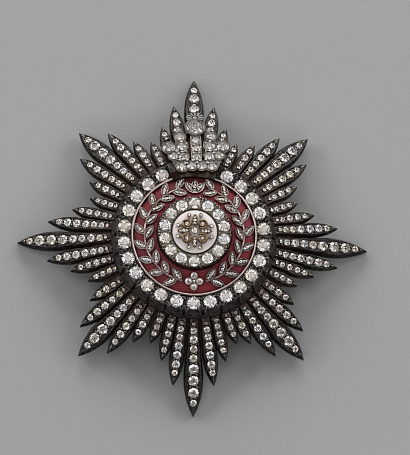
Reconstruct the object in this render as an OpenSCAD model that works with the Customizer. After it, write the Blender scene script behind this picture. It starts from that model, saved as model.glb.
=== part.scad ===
// Breast star of an order: rays set with stones, enamelled centre, crown and brooch pin.
// The face looks along +Z, the crown stands at +Y, and the star rests on its four longest ray tips at z = 0.

/* [Star] */
// Width of the star from tip to tip
star_w = 90; // [80:1:100]
// Slope of the rays, from the centre down to the tips, in degrees
ray_slope = 15.6; // [13:0.2:17]
// Thickness of a ray, square to its face
ray_t = 2.0; // [1.8:0.1:2.4]
// Height of a ray's upright side wall, below its slanted flank
ray_wall = 0.8; // [0.6:0.1:1]
// Clearance left between pieces that lie on each other
fit = 0.06; // [0.04:0.01:0.08]

/* [Outer gallery] */
// Places for stones round the gallery, of which the crown covers three
gallery_places = 26; // [26:1:26]
// Radius of the ring on which the gallery stones sit
gallery_ring_r = 17.9; // [17.8:0.05:18]
// Diameter of a gallery stone
gallery_stone_d = 3.35; // [3:0.05:3.5]
// Height of the gallery's top face
gallery_top = 12.2; // [12:0.1:12.6]

/* [Enamel band] */
// Outer radius of the enamelled band
band_r = 15.45; // [15.2:0.05:15.5]
// Height of the band's outer edge
band_z = 12.1; // [11.9:0.1:12.3]
// Rise of the band from its outer to its inner edge
band_rise = 1.5; // [1.2:0.1:1.7]
// Pairs of leaves on each branch of the wreath
leaf_pairs = 9; // [7:1:9]

/* [Centre] */
// Stones in the inner ring
inner_stones = 14; // [14:1:14]
// Radius of the ring on which the inner stones sit
inner_ring_r = 7.7; // [7.65:0.05:7.75]
// Diameter of an inner stone
inner_stone_d = 3.0; // [2.8:0.05:3.05]
// Height of the inner gallery's top face
inner_top = 15.5; // [15.2:0.1:15.7]
// Radius of the white enamel disc
disc_r = 5.85; // [5.8:0.05:5.9]

/* [Crown] */
// Distance of the crown's band of stones from the star's centre
crown_y = 18; // [17.9:0.1:18.2]
// Height of the crown's face there
crown_z = 14.3; // [14.1:0.1:14.6]
// Turn of the crown about its top stone, in degrees
crown_turn = 2.4; // [0:0.2:3]
// Diameter of the stone on top of the crown
top_stone_d = 4.3; // [4:0.1:4.4]

/* [Brooch pin] */
// Diameter of the pin's stem
pin_d = 1.2; // [1:0.1:1.4]
// Clear height between the stem and the back plate
pin_gap = 2.4; // [2:0.1:2.8]

/* [Hidden] */
$fn = 72;
star_r = star_w / 2;
rise = tan(ray_slope);

// One row for each kind of ray: angle from the longest ray of its group, radius of the tip, greatest
// half width, distance from the tip to the widest place, inset of the flank, distance from the tip to
// the first stone, space between stones, stones that the crown leaves in sight, stone diameters
ANGLE = 0;
TIP = 1;
HALF = 2;
WIDEST = 3;
INSET = 4;
FIRST = 5;
SPACE = 6;
SEEN = 7;
STONES = 8;
cardinal_rays = [
    [0, star_r, 2.55, 9.5, 0.65, 3.5, 0.31, 3, [1.65, 2.65, 2.65, 2.55, 2.05, 1.95, 2.05, 1.7]],
    [8, star_r - 7.3, 1.95, 7, 0.5, 3.3, 0.3, 3, [1.55, 2.05, 2.05, 1.95, 1.7, 1.55]],
    [14.8, star_r - 12.7, 1.7, 5.4, 0.5, 2.9, 0.5, 1, [1.4, 1.6, 1.6, 1.4]],
    [22.4, star_r - 16, 1.6, 4.8, 0.5, 2.6, 0.42, 3, [1.3, 1.4, 1.4]]
];
diagonal_rays = [
    [0, star_r - 3.2, 2.55, 8.5, 0.65, 3.6, 0.25, 0, [1.65, 2.7, 2.7, 2.45, 1.9, 1.9, 1.55]],
    [7.8, star_r - 8.3, 1.95, 6.8, 0.5, 3.6, 0.5, 0, [1.55, 1.95, 1.95, 1.7, 1.6]],
    [14.7, star_r - 14, 1.7, 5.2, 0.5, 3, 0.52, 0, [1.5, 1.8, 1.4]]
];
cardinal_reach = (cardinal_rays[3][ANGLE] + 45 - diagonal_rays[2][ANGLE]) / 2;
// Small hand-made turns and radial shifts of the eight groups, counted from the east
group_turn = [0, 0, 0, -0.3, -0.5, 0.7, 0.8, -0.7];
group_shift = [0, 0, 0, 0.2, 0, -0.3, 0, -0.5];
ray_base_half = 1.3;
ray_base_r = 19.3;
web_r = 25.5;
web_low = 0.3;
web_t = 0.6;
// How a ray's edge is made: angle at which its arc starts, share by which the arc runs on past the place
// where the straight edge leaves it, depth of that edge inside the arc, its extra length and its depth
arc_start = 20;
arc_lap = 1.6;
edge_in = 0.04;
edge_more = 2;
edge_deep = 7;

// Shares of a stone's diameter: table, crown height, depth below the girdle, ends of star and lower facets
table_share = 0.28;
crown_share = 0.16;
depth_share = 0.42;
star_share = 0.4;
lower_share = 0.2;
small_sides = 10;
// Depth of a girdle below the metal's face, and height of the bore above it
stone_sink = 0.12;
seat_h = 1.5;

gallery_foot_r = 20.9;
gallery_rim_r = 19.75;
gallery_inner_r = 16.3;
gallery_ledge_r = 14.6;
gallery_ledge_z = 10.9;
gallery_step = 360 / gallery_places;
crowned_places = 3;
flute_d = 0.9;
plate_top = 8.2;
plate_t = 1.2;
plate_r = ray_base_r - 0.1;

rim_wire_r = 0.34;
rim_skirt = 0.54;
rim_r = (band_r + gallery_inner_r) / 2;
band_inner_r = 9.75;
band_floor = 12.35;
band_slope = atan(band_rise / (band_r - band_inner_r));
wreath_r = 12.65;
wreath_start = 17;
wreath_sweep = 156;
leaf_l = 3.9;
leaf_half = 0.92;
leaf_lean = 40;
leaf_t = 0.55;
stem_w = 0.5;
stem_h = 0.44;
rosette_r = 12.4;
rosette_stone_d = 1.3;
rosette_reach = 1.45;
rosette_h = 0.8;
rosette_rim = 0.17;
rosette_plate_r = 1.5;
rosette_plate_t = 0.3;

inner_foot_r = 9.6;
inner_rim_r = 9.35;
inner_bore_r = disc_r + fit;
inner_ledge_r = 4.6;
inner_ledge_z = 14.6;
inner_neck_z = 14.3;
inner_notch_d = 0.7;
disc_edge_z = 15.6;
disc_rise = 0.55;
scroll_z = disc_edge_z + disc_rise + fit;
scroll_r = 1.15;
scroll_wire = 0.28;
scroll_reach = 2.2;
scroll_leaf_l = 4;
scroll_leaf_half = 0.62;
scroll_leaf_t = 0.45;
scroll_boss_r = 1.05;

// Crown stones of one half: distance from the crown's middle line, distance from the centre, diameter
CX = 0;
CY = 1;
CD = 2;
crown_side = [
    [1.3, 18.0, 2.3], [3.85, 17.7, 2.3],
    [3.35, 20.75, 2.2], [3.55, 23.65, 2.4], [4.05, 26.5, 2.2],
    [5.8, 20.95, 2.1], [6.95, 23.45, 2.9]
];
crown_middle = [[0, 20.75, 2.1], [0, 23.2, 1.9], [0, 25.4, 1.7]];
// Legs of one half: x and y of the foot, x and y of the head, width
FOOT_X = 0;
FOOT_Y = 1;
HEAD_X = 2;
HEAD_Y = 3;
WIDE = 4;
crown_legs = [
    [3.1, crown_y, 4.05, 26.5, 2.6], [4.3, crown_y, 6.95, 23.45, 2.4], [3.2, 20.6, 6.6, 23.2, 3]
];
crown_middle_w = 2.3;
crown_leg_low = 0.12;
crown_t = 1.5;
collet_t = 2.4;
crown_rim = 0.42;
crown_slot = 0.55;
crown_slot_x = 1.62;
crown_slot_y = 19.9;
crown_slot_l = 6.6;
crown_top_y = 29.3;
crown_foot_half = 20;
crown_foot_inner = 15.5;
crown_foot_outer = 19.7;
crown_foot_low = 0.36;
// Post under the crown: its depth below the face, width, length, and diameter under the top stone
post_low = 5.5;
post_y = 22.3;
post_w = 9.2;
post_l = 3.4;
post_d = 3;

pin_reach = 14;
pin_z = plate_top - plate_t - fit - pin_gap - pin_d / 2;
pin_block = 2.6;
catch_t = 1;

outer_names = [for (i = [1:gallery_places - crowned_places]) str("outer_stone_", i < 10 ? "0" : "", i)];
inner_names = [for (i = [1:inner_stones]) str("inner_stone_", i < 10 ? "0" : "", i)];
RAY_GROUPS = ["rays_e", "rays_ne", "rays_n", "rays_nw", "rays_w", "rays_sw", "rays_s", "rays_se"];

silver = [0.16, 0.155, 0.15];
bright = [0.5, 0.47, 0.44];
clear = [0.9, 0.9, 0.93];

// Angle and radius of each place of a ring of points
function ring(n, r, z, a0 = 0) =
    [for (i = [0:n - 1]) [r * cos(a0 + 360 * i / n), r * sin(a0 + 360 * i / n), z]];

// Small stone: table, a belt of triangles down to the girdle, and a pointed back
module small_stone(d) {
    n = small_sides;
    points = concat(
        ring(n, d * table_share, d * crown_share),
        ring(n, d / 2, 0, 180 / n),
        [[0, 0, -d * depth_share]]
    );
    faces = concat(
        [[for (i = [n - 1:-1:0]) i]],
        [for (i = [0:n - 1]) [i, (i + 1) % n, n + i]],
        [for (i = [0:n - 1]) [(i + 1) % n, n + (i + 1) % n, n + i]],
        [for (i = [0:n - 1]) [n + i, n + (i + 1) % n, 2 * n]]
    );
    polyhedron(points, faces);
}

// Main stone: octagonal table, star, kite and girdle facets, and eight main facets behind
module main_stone(d) {
    r = d / 2;
    high = d * crown_share;
    deep = d * depth_share;
    star_z = high * (r - d * star_share * cos(22.5)) / (r - d * table_share);
    low_z = -deep * (r - d * lower_share * cos(22.5)) / r;
    points = concat(
        ring(8, d * table_share, high),
        ring(8, d * star_share, star_z, 22.5),
        ring(16, r, 0),
        ring(8, d * lower_share, low_z, 22.5),
        [[0, 0, -deep]]
    );
    star = 8;
    girdle = 16;
    low = 32;
    faces = concat(
        [[for (i = [7:-1:0]) i]],
        [for (i = [0:7]) [i, (i + 1) % 8, star + i]],
        [for (i = [0:7]) [i, star + i, girdle + 2 * i]],
        [for (i = [0:7]) [i, girdle + 2 * i, star + (i + 7) % 8]],
        [for (i = [0:7]) [star + i, girdle + 2 * i + 1, girdle + 2 * i]],
        [for (i = [0:7]) [star + i, girdle + (2 * i + 2) % 16, girdle + 2 * i + 1]],
        [for (i = [0:7]) [low + i, girdle + 2 * i, girdle + 2 * i + 1]],
        [for (i = [0:7]) [low + i, girdle + 2 * i + 1, girdle + (2 * i + 2) % 16]],
        [for (i = [0:7]) [low + 8, girdle + 2 * i, low + i]],
        [for (i = [0:7]) [low + 8, low + (i + 7) % 8, girdle + 2 * i]]
    );
    polyhedron(points, faces);
}

// Pocket in which a stone sits: a cone below the girdle and a short bore above it
module seat(d) {
    r = d / 2 + fit;
    rotate_extrude($fn = 32)
        polygon([[0, -d * depth_share - 2 * fit], [r, fit / 2], [r, seat_h], [0, seat_h]]);
}

// Distances of a ray's stones from its tip, each a space apart from the one before
function stone_at(row, i) =
    i == 0 ? row[FIRST] : stone_at(row, i - 1) + (row[STONES][i - 1] + row[STONES][i]) / 2 + row[SPACE];

// Puts something on a ray: x runs outwards with its zero at the tip, z is square to the ray's back
module on_ray(angle, tip, shift = 0) {
    rotate([0, 0, angle]) translate([tip + shift - ray_wall * sin(ray_slope), 0, (star_r - tip) * rise])
        rotate([0, ray_slope, 0]) children();
}

// Place on a circle where a line from p touches it
function touch(p, c, r) = let (v = p - c, t = atan2(v.y, v.x) - acos(r / norm(v))) [r * cos(t), r * sin(t)];

// Section of a ray square to its edge: upright wall, slanted flank, flat top; x is zero at the edge
function ray_section(inset) =
    [[-edge_deep, 0], [0, 0], [0, ray_wall], [-inset, ray_t], [-edge_deep, ray_t]];

// One side of a ray: an arc from the tip to past its widest place, then a straight edge to the base
module ray_side(row, part) {
    half = row[HALF];
    long = row[WIDEST] / cos(ray_slope);
    r = (long * long + half * half) / (2 * half);
    c = [-long, half - r];
    p = [-(row[TIP] - ray_base_r) / cos(ray_slope), ray_base_half];
    spoke = touch(p, c, r);
    along = (c + spoke - p) / norm(c + spoke - p);
    start = p - edge_more * along - edge_in * spoke / r;
    turn = atan2(spoke.y, spoke.x) + arc_lap * acos(1 - edge_in / r);
    section = ray_section(row[INSET]);
    if (part == "arc") translate([c.x, c.y, 0]) rotate([0, 0, arc_start])
        rotate_extrude(angle = turn - arc_start, $fn = 180) translate([r, 0]) polygon(section);
    else translate([start.x, start.y, 0]) rotate([0, 0, atan2(along.y, along.x)]) rotate([90, 0, 90])
        linear_extrude(norm(c + spoke - p) + edge_more) polygon(section);
}

module ray_metal(row) {
    difference() {
        for (part = ["arc", "straight"]) intersection() {
            ray_side(row, part);
            mirror([0, 1, 0]) ray_side(row, part);
        }
        for (i = [0:len(row[STONES]) - 1])
            translate([-stone_at(row, i) / cos(ray_slope), 0, ray_t - stone_sink]) seat(row[STONES][i]);
    }
}

// Signs of the two rays that stand either side of the longest one, which itself stands once
function sides(row) = row[ANGLE] == 0 ? [1] : [-1, 1];

// A group of rays on its share of the sloping web
module ray_group(k, rows, reach) {
    middle = 45 * k + group_turn[k];
    color(silver) intersection() {
        difference() {
            union() {
                for (row = rows) for (s = sides(row))
                    on_ray(middle + s * row[ANGLE], row[TIP], group_shift[k]) ray_metal(row);
                rotate_extrude($fn = 180) polygon([
                    [ray_base_r - 1, (star_r - ray_base_r + 1) * rise + web_low],
                    [web_r, (star_r - web_r) * rise + web_low],
                    [web_r, (star_r - web_r) * rise + web_low + web_t],
                    [ray_base_r - 1, (star_r - ray_base_r + 1) * rise + web_low + web_t]
                ]);
            }
            cylinder(h = 20, r = ray_base_r, $fn = 180);
        }
        rotate([0, 0, 45 * k]) translate([fit / 2 / sin(reach), 0, -1]) linear_extrude(20) polygon([
            [0, 0], star_w * [cos(reach), -sin(reach)], [star_w, 0], star_w * [cos(reach), sin(reach)]
        ]);
    }
}

module ray_group_at(k) {
    if (k % 2 == 0) ray_group(k, cardinal_rays, cardinal_reach);
    else ray_group(k, diagonal_rays, 45 - cardinal_reach);
}

// The stones of every second group, from the first one on; the crown hides some of the northern ones
module ray_stones(rows, first) {
    color(clear) for (k = [first:2:7]) for (row = rows) for (s = sides(row))
        for (i = [0:(k == 2 ? row[SEEN] : len(row[STONES])) - 1])
            on_ray(45 * k + group_turn[k] + s * row[ANGLE], row[TIP], group_shift[k])
                translate([-stone_at(row, i) / cos(ray_slope), 0, ray_t - stone_sink])
                    small_stone(row[STONES][i]);
}

// Plain plate behind the centre
module back_plate() {
    color(silver) translate([0, 0, plate_top - plate_t]) cylinder(h = plate_t, r = plate_r, $fn = 120);
}

// Angle of gallery place i, counted from the place at the foot of the star
function gallery_angle(i) = -90 + gallery_step * i;

// Gallery places in use: all but those at the top, under the crown
function gallery_used() =
    [for (i = [0:gallery_places - 1]) if (abs(i - gallery_places / 2) > crowned_places / 2) i];

module outer_gallery() {
    ray_face = ray_t / cos(ray_slope) + 2 * fit;
    color(silver) difference() {
        rotate_extrude($fn = 180) polygon([
            [gallery_ledge_r, plate_top + fit],
            [plate_r, plate_top + fit],
            [plate_r, (star_r - plate_r) * rise + ray_face],
            [gallery_foot_r, (star_r - gallery_foot_r) * rise + ray_face],
            [gallery_rim_r, gallery_top],
            [gallery_inner_r, gallery_top],
            [gallery_inner_r, gallery_ledge_z],
            [gallery_ledge_r, gallery_ledge_z]
        ]);
        for (i = gallery_used()) rotate([0, 0, gallery_angle(i)]) {
            translate([gallery_ring_r, 0, gallery_top - stone_sink]) seat(gallery_stone_d);
            rotate([0, 0, gallery_step / 2]) translate([gallery_rim_r + flute_d / 4, 0, gallery_top])
                rotate([0, -atan((gallery_foot_r - gallery_rim_r) / (gallery_top - plate_top)), 0])
                    translate([0, 0, -8]) cylinder(h = 12, d = flute_d, $fn = 24);
        }
    }
}

module outer_stone(i) {
    color(clear) rotate([0, 0, gallery_angle(gallery_used()[i])])
        translate([gallery_ring_r, 0, gallery_top - stone_sink]) main_stone(gallery_stone_d);
}

// Enamelled plaque: a sloping band round a flat floor on which the centre stands
module band_enamel() {
    color([0.5, 0.13, 0.17]) rotate_extrude($fn = 180) polygon([
        [0, gallery_ledge_z + fit], [band_r, gallery_ledge_z + fit], [band_r, band_z],
        [band_inner_r, band_z + band_rise], [band_inner_r, band_floor], [0, band_floor]
    ]);
}

module band_rim() {
    color([0.85, 0.72, 0.68]) rotate_extrude($fn = 180) union() {
        translate([rim_r, band_z + rim_wire_r]) circle(r = rim_wire_r, $fn = 24);
        translate([rim_r - rim_skirt / 2, gallery_ledge_z + fit])
            square([rim_skirt, band_z - gallery_ledge_z]);
    }
}

// Puts something on the band's slope: x runs outwards, with its zero at radius r
module on_band(angle, r) {
    rotate([0, 0, angle]) translate([r, 0, band_z + (band_r - r) * tan(band_slope) + fit])
        rotate([0, band_slope, 0]) children();
}

// Pointed leaf along x, from its foot at zero
module leaf(l, half, t) {
    r = (l * l / 4 + half * half) / (2 * half);
    linear_extrude(t) intersection() {
        translate([l / 2, half - r]) circle(r = r, $fn = 90);
        translate([l / 2, r - half]) circle(r = r, $fn = 90);
    }
}

// Right branch of the wreath: a stem with leaves in pairs
module wreath_branch() {
    step = wreath_sweep / leaf_pairs;
    stem_z = band_z + (band_r - wreath_r) * tan(band_slope) + 2 * fit;
    rotate([0, 0, -90 + wreath_start]) rotate_extrude(angle = wreath_sweep - step / 2, $fn = 180)
        translate([wreath_r - stem_w / 2, stem_z]) square([stem_w, stem_h]);
    for (i = [0:leaf_pairs - 1]) for (side = [-1, 1])
        on_band(-90 + wreath_start + step * (i + 0.15 * side), wreath_r)
            rotate([0, 0, 90 - side * leaf_lean]) leaf(leaf_l, leaf_half, leaf_t);
}

// Wreath of two branches that rise from the rosette at the foot
module band_ornament() {
    color([0.62, 0.52, 0.48]) {
        wreath_branch();
        mirror([1, 0, 0]) wreath_branch();
        on_band(-90, rosette_r) difference() {
            union() {
                cylinder(h = rosette_plate_t, r = rosette_plate_r, $fn = 48);
                for (a = [0:90:270]) rotate([0, 0, a]) translate([rosette_reach, 0, 0])
                    cylinder(h = rosette_h, d = rosette_stone_d + 2 * rosette_rim, $fn = 32);
            }
            for (a = [0:90:270]) rotate([0, 0, a])
                translate([rosette_reach, 0, rosette_h - stone_sink / 2]) seat(rosette_stone_d);
        }
    }
}

module rosette_stones() {
    color(clear) on_band(-90, rosette_r) for (a = [0:90:270]) rotate([0, 0, a])
        translate([rosette_reach, 0, rosette_h - stone_sink / 2]) small_stone(rosette_stone_d);
}

module inner_gallery() {
    color(silver) difference() {
        rotate_extrude($fn = 144) polygon([
            [inner_ledge_r, band_floor + fit], [inner_foot_r, band_floor + fit], [inner_foot_r, inner_neck_z],
            [inner_rim_r, inner_top], [inner_bore_r, inner_top],
            [inner_bore_r, inner_ledge_z], [inner_ledge_r, inner_ledge_z]
        ]);
        for (i = [0:inner_stones - 1]) rotate([0, 0, 90 + 360 / inner_stones * i]) {
            translate([inner_ring_r, 0, inner_top - stone_sink]) seat(inner_stone_d);
            rotate([0, 0, 180 / inner_stones])
                translate([inner_rim_r + inner_notch_d / 3, 0, inner_neck_z - 0.3])
                    cylinder(h = 3, d = inner_notch_d, $fn = 24);
        }
    }
}

module inner_stone(i) {
    color(clear) rotate([0, 0, 90 + 360 / inner_stones * i])
        translate([inner_ring_r, 0, inner_top - stone_sink]) main_stone(inner_stone_d);
}

// White enamel disc with a gently domed face
module centre_enamel() {
    dome = (disc_r * disc_r + disc_rise * disc_rise) / (2 * disc_rise);
    color([0.87, 0.82, 0.81]) intersection() {
        translate([0, 0, inner_ledge_z + fit]) cylinder(h = 3, r = disc_r, $fn = 120);
        translate([0, 0, disc_edge_z + disc_rise - dome]) sphere(r = dome, $fn = 180);
    }
}

// Four round scrolls and four leaves about a flower of small stones
module centre_ornament() {
    color([0.55, 0.44, 0.32]) translate([0, 0, scroll_z]) {
        for (a = [45:90:315]) rotate([0, 0, a]) translate([scroll_reach, 0, scroll_wire])
            rotate_extrude($fn = 60) translate([scroll_r, 0]) circle(r = scroll_wire, $fn = 20);
        for (a = [0:90:270]) rotate([0, 0, a]) translate([scroll_boss_r / 2, 0, 0])
            leaf(scroll_leaf_l, scroll_leaf_half, scroll_leaf_t);
        cylinder(h = scroll_leaf_t + 0.1, r = scroll_boss_r, $fn = 48);
    }
}

// Puts something on the crown's sloping face: x to the right, y away from the centre along the slope
module on_crown(x, y, down = 0) {
    translate([0, crown_top_y, 0]) rotate([0, 0, crown_turn]) translate([x, y - crown_top_y, 0])
        translate([0, 0, crown_z - (y - crown_y) * rise]) rotate([-ray_slope, 0, 0])
            translate([0, 0, -down]) children();
}

// Every crown stone as its place from the middle line, its distance from the centre and its diameter
function crown_places() = concat(
    crown_middle, crown_side, [for (c = crown_side) [-c[CX], c[CY], c[CD]]]
);

// Leg of the crown along its face, from its foot to its head
module crown_leg(x0, y0, x1, y1, w) {
    run = [x1 - x0, (y1 - y0) / cos(ray_slope)];
    on_crown(x0, y0, crown_t) rotate([0, 0, atan2(run.y, run.x)]) translate([0, -w / 2, 0])
        cube([norm(run), w, crown_t - crown_leg_low]);
}

// Cast crown: a curved band, five legs and the collet of the top stone, on a foot over the rays
module crown() {
    color(bright) difference() {
        union() {
            for (c = crown_places())
                on_crown(c[CX], c[CY], crown_t) cylinder(h = crown_t, d = c[CD] + 2 * crown_rim);
            on_crown(0, crown_top_y, collet_t) cylinder(h = collet_t, d = top_stone_d + 2 * crown_rim);
            crown_leg(0, crown_y, 0, crown_top_y, crown_middle_w);
            for (s = [-1, 1]) for (g = crown_legs)
                crown_leg(s * g[FOOT_X], g[FOOT_Y], s * g[HEAD_X], g[HEAD_Y], g[WIDE]);
            crown_foot();
            crown_post();
        }
        for (c = crown_places()) on_crown(c[CX], c[CY], stone_sink) seat(c[CD]);
        on_crown(0, crown_top_y, stone_sink) seat(top_stone_d);
        for (s = [-1, 1]) on_crown(s * crown_slot_x, crown_slot_y, crown_t + 1)
            translate([-crown_slot / 2, 0, 0]) cube([crown_slot, crown_slot_l, crown_t + 3]);
    }
}

// Curved foot that stands on the gallery, reaches over the band's rim and carries the crown's band
module crown_foot() {
    past_rim = rim_r + rim_wire_r + fit;
    over_rim = band_z + 2 * rim_wire_r + fit;
    intersection() {
        rotate_extrude($fn = 180) polygon([
            [crown_foot_inner, over_rim], [past_rim, over_rim], [past_rim, gallery_top + fit],
            [crown_foot_outer, gallery_top + fit],
            [crown_foot_outer, crown_z - crown_foot_low - (crown_foot_outer - crown_y) * rise],
            [crown_y - 0.9, crown_z - crown_foot_low], [crown_foot_inner, crown_z - 3 * crown_foot_low]
        ]);
        rotate([0, 0, 90 + crown_turn / 2 - crown_foot_half])
            rotate_extrude(angle = 2 * crown_foot_half, $fn = 180) square([30, 20]);
    }
}

// Post under the crown's middle, down to the longest northern ray and its neighbours
module crown_post() {
    difference() {
        union() {
            on_crown(0, post_y, post_low) translate([-post_w / 2, 0, 0])
                cube([post_w, post_l, post_low - 1]);
            on_crown(0, crown_top_y, post_low) cylinder(h = post_low - 1, d = post_d);
        }
        rotate_extrude($fn = 180) polygon([
            [0, 0], [star_r, 0], [star_r, ray_t / cos(ray_slope) + 2 * fit],
            [0, star_r * rise + ray_t / cos(ray_slope) + 2 * fit]
        ]);
    }
}

module crown_stones() {
    color(clear) for (c = crown_places()) on_crown(c[CX], c[CY], stone_sink) small_stone(c[CD]);
}

module crown_top_stone() {
    color(clear) on_crown(0, crown_top_y, stone_sink) main_stone(top_stone_d);
}

// Brooch pin as worn: hinge block, stem and hooked catch in one
module brooch_pin() {
    top = plate_top - plate_t - fit;
    color(bright) {
        translate([-pin_reach, 0, pin_z]) rotate([0, 90, 0]) cylinder(h = 2 * pin_reach, d = pin_d, $fn = 32);
        translate([-pin_reach - pin_block / 2, 0, 0]) {
            translate([0, -pin_block / 2, pin_z]) cube([pin_block, pin_block, top - pin_z]);
            translate([0, 0, pin_z]) rotate([0, 90, 0]) cylinder(h = pin_block, d = pin_block, $fn = 32);
        }
        translate([pin_reach - pin_block / 2, 0, 0]) {
            translate([0, -catch_t / 2, pin_z]) cube([pin_block, catch_t, top - pin_z]);
            translate([0, 0, pin_z]) rotate([0, 90, 0])
                cylinder(h = pin_block, d = pin_d + catch_t, $fn = 32);
        }
    }
}

for (k = [0:7]) ray_group_at(k);
for (i = [0:len(outer_names) - 1]) outer_stone(i);
for (i = [0:len(inner_names) - 1]) inner_stone(i);
back_plate();
ray_stones(cardinal_rays, 0);  // ray_stones_cardinal
ray_stones(diagonal_rays, 1);  // ray_stones_diagonal
outer_gallery();
band_enamel();
band_rim();
band_ornament();
rosette_stones();
inner_gallery();
centre_enamel();
centre_ornament();
crown();
crown_stones();
crown_top_stone();
brooch_pin();
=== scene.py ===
import itertools
import math
import random

import bmesh
import bpy
from mathutils import Matrix, Vector
from mathutils.bvhtree import BVHTree


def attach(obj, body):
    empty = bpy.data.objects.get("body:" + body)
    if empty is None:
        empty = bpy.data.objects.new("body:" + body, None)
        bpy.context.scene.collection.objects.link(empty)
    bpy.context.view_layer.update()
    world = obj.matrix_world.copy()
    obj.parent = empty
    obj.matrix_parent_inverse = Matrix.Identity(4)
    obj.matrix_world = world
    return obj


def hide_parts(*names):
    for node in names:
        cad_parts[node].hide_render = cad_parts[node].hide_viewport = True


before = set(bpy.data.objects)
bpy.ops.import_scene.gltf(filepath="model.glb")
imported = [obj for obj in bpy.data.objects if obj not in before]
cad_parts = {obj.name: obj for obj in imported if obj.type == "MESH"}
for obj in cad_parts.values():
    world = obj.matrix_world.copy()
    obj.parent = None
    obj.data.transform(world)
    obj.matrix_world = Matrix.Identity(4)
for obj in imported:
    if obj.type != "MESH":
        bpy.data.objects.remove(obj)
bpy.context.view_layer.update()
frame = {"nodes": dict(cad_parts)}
nodes = frame["nodes"]
mm = 0.001
print("frame loaded:", len(nodes), "nodes")

# Lengths are in millimetres and angles in degrees, until a piece is finished
star = dict(slope=15.6, sink=0.12)  # how the rays fall away, and how deep their stones are let in
slope = math.radians(star["slope"])
rise = math.tan(slope)
zAxis = Vector((0, 0, 1))


def turned(axis, degrees):
    return Matrix.Rotation(math.radians(degrees), 4, axis)


def moved(x, y, z):
    return Matrix.Translation((x, y, z))


def polar(radius, degrees, z):
    return Vector((radius * math.cos(math.radians(degrees)), radius * math.sin(math.radians(degrees)), z))


# Nodes of a material


def feed(tree, socket, value):
    # links a socket, or sets it to a plain number or to red, green and blue
    if isinstance(value, bpy.types.NodeSocket):
        tree.links.new(value, socket)
    elif socket.type == "RGBA":
        socket.default_value = (*value, 1.0)
    else:
        socket.default_value = value


def addNode(tree, kind, inputs=None, **settings):
    made = tree.nodes.new("ShaderNode" + kind)
    for name, value in settings.items():
        setattr(made, name, value)
    for name, value in (inputs or {}).items():
        feed(tree, made.inputs[name], value)
    return made


def calc(tree, operation, *values, clamp=False):
    return addNode(tree, "Math", dict(enumerate(values)), operation=operation, use_clamp=clamp).outputs[0]


def blendColours(tree, factor, first, second):
    # the Mix node keeps its colours in inputs 6 and 7 and gives their blend in output 2
    mix = addNode(tree, "Mix", {0: factor, 6: first, 7: second}, data_type="RGBA", clamp_factor=True)
    return mix.outputs[2]


def mapped(tree, value, low, high, toLow=0.0, toHigh=1.0):
    return addNode(tree, "MapRange", {0: value, 1: low, 2: high, 3: toLow, 4: toHigh}, clamp=True).outputs[0]


def objectCoords(tree):
    return addNode(tree, "TexCoord").outputs["Object"]


def noise(tree, scale, detail=3.0, roughness=0.55):
    inputs = {"Vector": objectCoords(tree), "Scale": scale, "Detail": detail, "Roughness": roughness}
    return addNode(tree, "TexNoise", inputs).outputs["Fac"]


def startGroup(name, inputs, outputs):
    # a node group whose sockets all hold plain numbers
    tree = bpy.data.node_groups.new(name, "ShaderNodeTree")
    for direction, labels in (("INPUT", inputs), ("OUTPUT", outputs)):
        for label in labels:
            tree.interface.new_socket(label, in_out=direction, socket_type="NodeSocketFloat")
    return tree, tree.nodes.new("NodeGroupInput").outputs, tree.nodes.new("NodeGroupOutput").inputs


hollowLook = dict(hollow=(0.35, 0.95))  # how open a place is where the tarnish and painted shade are full, and where they end
skinLook = dict(cloud=(0.3, 0.7), glintSpeck=(0.57, 0.66), mottle=(0.42, 0.62), roughSpan=0.22, cloudHeight=0.7,
                grainHeight=0.3, depth=0.05)


def makeEdgeHollowGroup():
    # a mask that is 1 along edges and 0 on the flats, for worn edges and painted highlights, and one that is 1 in
    # hollows, for tarnish and painted shade
    tree, start, end = startGroup("edgeAndHollowMasks", ("Radius", "Strength", "Reach"), ("Edge", "Hollow"))
    soft = addNode(tree, "Bevel", {"Radius": start["Radius"]}, samples=4)
    true = addNode(tree, "NewGeometry")
    normals = {0: soft.outputs[0], 1: true.outputs["Normal"]}
    same = addNode(tree, "VectorMath", normals, operation="DOT_PRODUCT").outputs["Value"]
    bent = calc(tree, "SUBTRACT", 1.0, same)
    tree.links.new(calc(tree, "MULTIPLY", bent, start["Strength"], clamp=True), end["Edge"])
    openness = addNode(tree, "AmbientOcclusion", {"Distance": start["Reach"]}, samples=6).outputs["AO"]
    tree.links.new(mapped(tree, openness, *hollowLook["hollow"], 1.0, 0.0), end["Hollow"])
    return tree


def makeSkinGroup():
    # cloudy tone, fine grain with pale specks for painted glints, and a roughness that goes with them
    tree, start, end = startGroup(
        "metalSkin", ("Cloud Scale", "Grain Scale", "Gloss"), ("Cloud", "GlintSpeck", "Roughness", "Height"))
    coords = objectCoords(tree)
    cloud, grain = (
        addNode(tree, "TexNoise", {"Vector": coords, "Scale": start[scale], "Detail": detail}).outputs["Fac"]
        for scale, detail in (("Cloud Scale", 4.0), ("Grain Scale", 2.0)))
    tone = mapped(tree, cloud, *skinLook["cloud"])
    rough = calc(tree, "ADD", start["Gloss"], calc(tree, "MULTIPLY", tone, skinLook["roughSpan"]))
    cloudHeight = calc(tree, "MULTIPLY", cloud, skinLook["cloudHeight"])
    grainHeight = calc(tree, "MULTIPLY", grain, skinLook["grainHeight"])
    tree.links.new(tone, end["Cloud"])
    tree.links.new(mapped(tree, grain, *skinLook["glintSpeck"]), end["GlintSpeck"])
    tree.links.new(rough, end["Roughness"])
    tree.links.new(calc(tree, "ADD", cloudHeight, grainHeight), end["Height"])
    return tree


edgeHollowGroup = makeEdgeHollowGroup()
skinGroup = makeSkinGroup()


def startMaterial(name, **values):
    # an underscore in a value's name stands for the space in the shader's own
    made = bpy.data.materials.new(name)
    made.use_nodes = True
    shader = made.node_tree.nodes["Principled BSDF"]
    for label, value in values.items():
        shader.inputs[label.replace("_", " ")].default_value = value
    return made, made.node_tree, shader


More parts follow.
